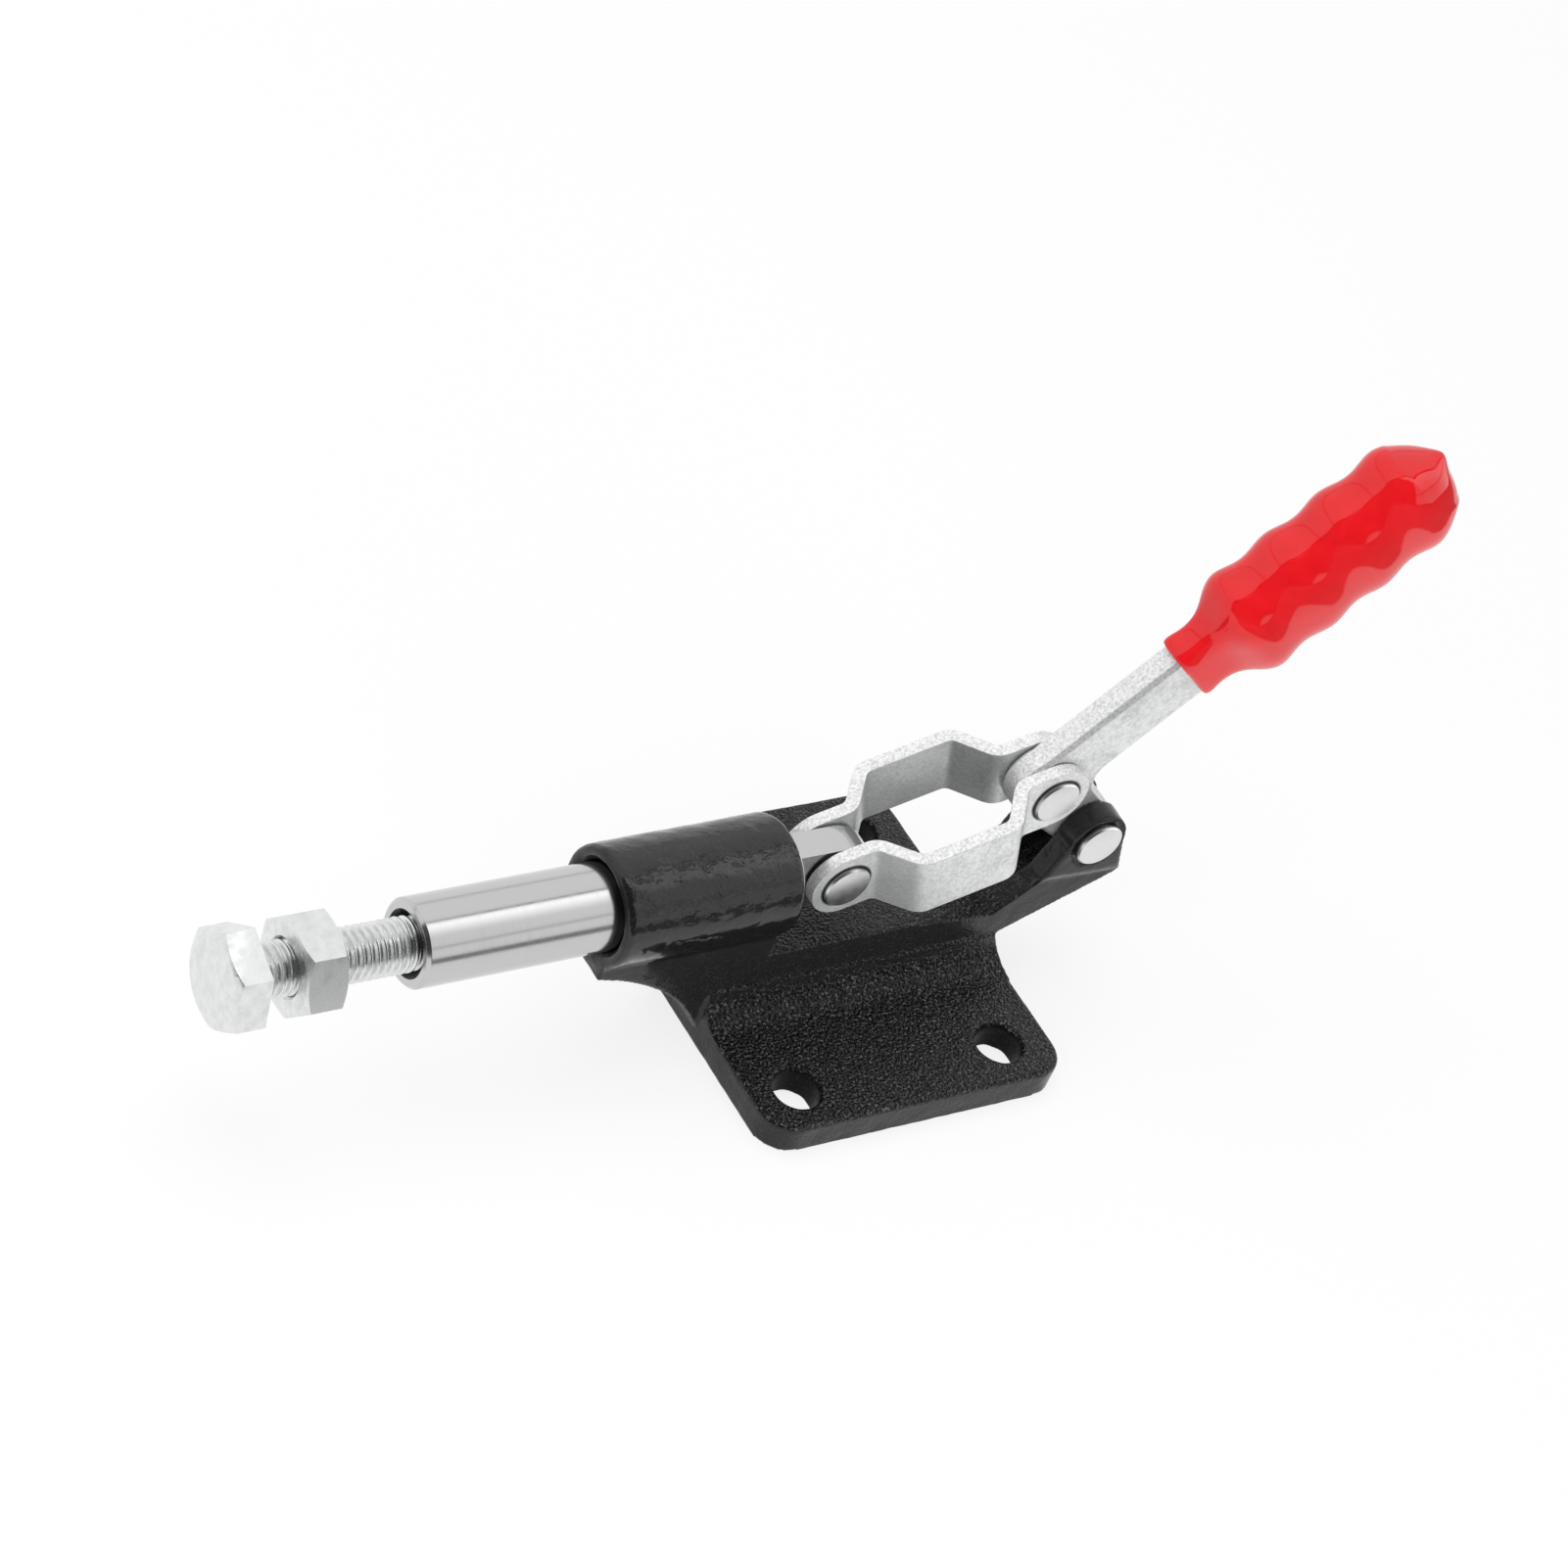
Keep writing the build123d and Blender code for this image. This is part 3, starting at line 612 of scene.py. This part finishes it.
grip = solid_copy("handle_grip", "dipped_grip")
flow = grip.modifiers.new("flow", "REMESH")
flow.mode = "VOXEL"
flow.voxel_size = VINYL_VOXEL
settle = grip.modifiers.new("settle", "SMOOTH")
settle.factor = 0.5
settle.iterations = 20
baked(grip)
furthest = max((corner.co for corner in grip.data.vertices), key=lever_run.dot)
drip_at = furthest - lever_run * DRIP_BACK
end = bmesh.new()
end.from_mesh(grip.data)
near_drip = [corner for corner in end.verts if (corner.co - drip_at).length < SETTLED_ROUND_DRIP]
for turn in range(SETTLING_TURNS):
    bmesh.ops.smooth_vert(
        end, verts=near_drip, factor=0.5, use_axis_x=True, use_axis_y=True, use_axis_z=True)
for corner in near_drip:
    aside = (corner.co - drip_at).cross(lever_run).length
    corner.co += lever_run * DRIP_TALL * exp(-(aside / DRIP_WIDE) ** 2)
end.to_mesh(grip.data)
end.free()
grip.data.shade_smooth()
grip.data.materials.append(dipped_vinyl())
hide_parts("handle_grip")
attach(grip, "handle")


# ---- Floor, light and camera ------------------------------------------------
# A pale seamless floor in a white tent of soft panels. The tent is open and dark
# on its front left, and three soft boxes light the clamp without showing in it.
def white_to_rays(tree):
    """1 for rays that show the background: camera, glossy and transmission rays."""
    rays = add(tree, "ShaderNodeLightPath").outputs
    either = add(tree, "ShaderNodeMath", {
        0: rays["Is Camera Ray"], 1: rays["Is Glossy Ray"]}, operation="MAXIMUM")
    return add(tree, "ShaderNodeMath", {
        0: either.outputs[0], 1: rays["Is Transmission Ray"]}, operation="MAXIMUM").outputs[0]


UNDER_BASE = 0.02 * MM      # keeps the floor clear of the base's underside
floor_mesh = bpy.data.meshes.new("floor")
floor_mesh.from_pydata(
    [(x, y, -UNDER_BASE) for x, y in ((-4, -4), (4, -4), (4, 4), (-4, 4))], [], [(0, 1, 2, 3)])
floor = bpy.data.objects.new("floor", floor_mesh)
bpy.context.scene.collection.objects.link(floor)
floor_material, tree, shader = new_material("pale_floor")
shader.inputs["Base Color"].default_value = linear("#F4F4F4")
shader.inputs["Roughness"].default_value = 0.9

# Paper white with a faint shadow. In gloss it is white as far as the open front.
glow = add(tree, "ShaderNodeEmission", {"Color": (1, 1, 1, 1), "Strength": 1.0})
share = add(tree, "ShaderNodeMath", {0: white_to_rays(tree), 1: 0.8}, operation="MULTIPLY")
to_front = add(tree, "ShaderNodeVectorMath", {
    0: add(tree, "ShaderNodeTexCoord").outputs["Object"], 1: (0.3, -1.0, 0.0)},
    operation="DOT_PRODUCT")
paper = add(tree, "ShaderNodeMapRange", {
    "Value": to_front.outputs["Value"], "From Min": 0.15, "From Max": 0.16,
    "To Min": 1.0, "To Max": 0.04})
mirrored = add(tree, "ShaderNodeLightPath").outputs["Is Glossy Ray"]
lit = add(tree, "ShaderNodeMix", {0: mirrored, 2: 1.0, 3: paper.outputs[0]}, data_type="FLOAT")
tree.links.new(lit.outputs[0], glow.inputs["Strength"])
mixed = add(tree, "ShaderNodeMixShader", {
    0: share.outputs[0], 1: shader.outputs["BSDF"], 2: glow.outputs["Emission"]})
tree.links.new(mixed.outputs["Shader"], tree.nodes["Material Output"].inputs["Surface"])
floor_mesh.materials.append(floor_material)

world = bpy.data.worlds.new("white_tent")
world.use_nodes = True
tree = world.node_tree
tree.nodes.clear()
toward = add(tree, "ShaderNodeTexCoord").outputs["Generated"]
across = add(tree, "ShaderNodeSeparateXYZ", {"Vector": toward}).outputs

# The open front left side, closed by a white panel on the right.
to_gap = add(tree, "ShaderNodeVectorMath", {
    0: toward, 1: (-0.46, -0.85, 0.28)}, operation="DOT_PRODUCT")
gap = add(tree, "ShaderNodeMapRange", {
    "Value": to_gap.outputs["Value"], "From Min": 0.38, "From Max": 0.42,
    "To Min": 1.0, "To Max": 0.05})
side_panel = add(tree, "ShaderNodeMapRange", {
    "Value": across["X"], "From Min": 0.3, "From Max": 0.36})
gap_left = add(tree, "ShaderNodeMath", {
    0: gap.outputs[0], 1: side_panel.outputs[0]}, operation="MAXIMUM")

# The dark seam overhead and the thinner one low down draw lines along the ground bar.
beside_seam = add(tree, "ShaderNodeMath", {0: across["Y"], 1: 0.03}, operation="SUBTRACT")
off_seam = add(tree, "ShaderNodeMath", {0: beside_seam.outputs[0]}, operation="ABSOLUTE")
seam = add(tree, "ShaderNodeMapRange", {
    "Value": off_seam.outputs[0], "From Min": 0.02, "From Max": 0.05,
    "To Min": 0.05, "To Max": 1.0})
overhead = add(tree, "ShaderNodeMapRange", {
    "Value": across["Z"], "From Min": 0.55, "From Max": 0.7})
seam_up = add(tree, "ShaderNodeMix", {
    0: overhead.outputs[0], 2: 1.0, 3: seam.outputs[0]}, data_type="FLOAT")
above_low_seam = add(tree, "ShaderNodeMath", {0: across["Z"], 1: 0.39}, operation="SUBTRACT")
low_seam = add(tree, "ShaderNodeMath", {0: above_low_seam.outputs[0]}, operation="ABSOLUTE")
thin_seam = add(tree, "ShaderNodeMapRange", {
    "Value": low_seam.outputs[0], "From Min": 0.01, "From Max": 0.04,
    "To Min": 0.4, "To Max": 1.0})
seams = add(tree, "ShaderNodeMath", {
    0: seam_up.outputs[0], 1: thin_seam.outputs[0]}, operation="MULTIPLY")

# The panel just in front of the overhead seam is the brightest.
near_box = add(tree, "ShaderNodeMapRange", {
    "Value": across["Y"], "From Min": -0.5, "From Max": -0.15, "To Min": 1.0, "To Max": 1.8})
back_box = add(tree, "ShaderNodeMapRange", {
    "Value": across["Y"], "From Min": 0.03, "From Max": 0.05, "To Min": 1.8, "To Max": 1.0})
box_light = add(tree, "ShaderNodeMath", {
    0: near_box.outputs[0], 1: back_box.outputs[0]}, operation="MINIMUM")
panels = add(tree, "ShaderNodeMath", {
    0: seams.outputs[0], 1: box_light.outputs[0]}, operation="MULTIPLY")
tent = add(tree, "ShaderNodeMath", {
    0: gap_left.outputs[0], 1: panels.outputs[0]}, operation="MULTIPLY")

# Only gloss sees the seams and panels; everything else sees an even white.
glossy = add(tree, "ShaderNodeLightPath").outputs["Is Glossy Ray"]
in_gloss = add(tree, "ShaderNodeMix", {
    0: glossy, 2: 1.0, 3: tent.outputs[0]}, data_type="FLOAT")
level = add(tree, "ShaderNodeMapRange", {
    "Value": white_to_rays(tree), "To Min": 0.52, "To Max": 1.0})
strength = add(tree, "ShaderNodeMath", {
    0: level.outputs[0], 1: in_gloss.outputs[0]}, operation="MULTIPLY")
sky = add(tree, "ShaderNodeBackground", {"Color": (1, 1, 1, 1), "Strength": strength.outputs[0]})
add(tree, "ShaderNodeOutputWorld", {"Surface": sky.outputs["Background"]})
bpy.context.scene.world = world


def soft_box(name, place, target, size, watts):
    """A square area lamp that faces a point and shows in no reflection."""
    lamp = bpy.data.lights.new(name, "AREA")
    lamp.size = size
    lamp.energy = watts
    box = bpy.data.objects.new(name, lamp)
    box.location = place
    box.rotation_euler = (Vector(target) - Vector(place)).to_track_quat("-Z", "Y").to_euler()
    box.visible_glossy = False
    bpy.context.scene.collection.objects.link(box)


soft_box("overhead_box", (-0.1, 0.3, 1.2), (0, 0, 0.03), 1.0, 8)
soft_box("left_box", (-1.0, -0.5, 0.7), (0, 0, 0.03), 0.8, 5)
soft_box("low_fill", (0.1, -1.1, 0.12), (0, 0, 0.06), 0.6, 5)

# A long lens from the front left, some 41 degrees down and rolled a little.
camera_data = bpy.data.cameras.new("view")
camera_data.sensor_width = 36
camera_data.lens = 113.2
camera = bpy.data.objects.new("view", camera_data)
right = Vector((0.8249, -0.4768, 0.3038))
down = Vector((-0.1509, -0.7036, -0.6944))
ahead = Vector((0.5448, 0.5270, -0.6523))
turned = Matrix((right, -down, -ahead)).transposed().to_4x4()
camera.matrix_world = Matrix.Translation((-0.4951, -0.4515, 0.6164)) @ turned
bpy.context.scene.collection.objects.link(camera)
bpy.context.scene.camera = camera
bpy.context.scene.view_settings.view_transform = "Standard"
